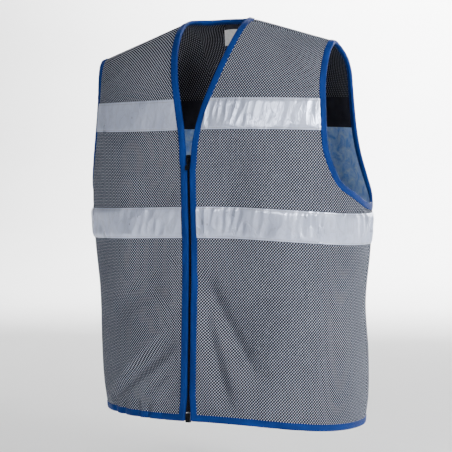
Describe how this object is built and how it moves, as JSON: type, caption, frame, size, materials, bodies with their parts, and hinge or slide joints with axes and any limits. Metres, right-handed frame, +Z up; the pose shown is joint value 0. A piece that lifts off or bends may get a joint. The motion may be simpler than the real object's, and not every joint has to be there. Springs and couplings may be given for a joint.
{
  "type": "cooling vest",
  "caption": "Sleeveless cooling vest of grey spacer mesh with a zip front, V neck, bound edges and two bands of reflective tape, shown in its worn shape.",
  "frame": {"origin": "midway between the shoulders, at the inner level of the shoulder seams; wearer's left is +X", "axes": "+Z up along the body, -Y out of the front, +X to the wearer's left"},
  "size_m": [0.4996, 0.3062, 0.6837],
  "materials": {
    "mesh": "grey three-layer spacer mesh, 3 mm",
    "binding": "woven royal blue binding",
    "lining": "smooth blue lining",
    "black_cloth": "plain black weave",
    "reflective": "silver retroreflective tape",
    "coil": "black nylon coil",
    "metal": "dark grey die-cast",
    "label": "bare white satin"
  },
  "bodies": {
    "vest": {"front_right": "mesh", "front_left": "mesh", "back": "mesh", "back_lining": "lining", "back_inner_band": "black_cloth", "upper_tape_right": "reflective", "upper_tape_left": "reflective", "upper_tape_back": "reflective", "lower_tape_right": "reflective", "lower_tape_left": "reflective", "lower_tape_back": "reflective", "neck_binding": "binding", "armhole_binding_right": "binding", "armhole_binding_left": "binding", "hem_binding": "binding", "zip_tape_right": "black_cloth", "zip_tape_left": "black_cloth", "zip_coil_right": "coil", "zip_coil_left": "coil", "zip_slider": "metal", "zip_box": "metal", "neck_label_black": "black_cloth", "neck_label_white": "label"},
    "pull": {"zip_pull": "metal"}
  },
  "joints": [
    {"name": "pull_hinge", "type": "hinge", "parent": "vest", "child": "pull", "pos_m": [0, -0.12991, -0.22439], "axis": [-1, 0, 0], "range_deg": [0, 150]}
  ]
}
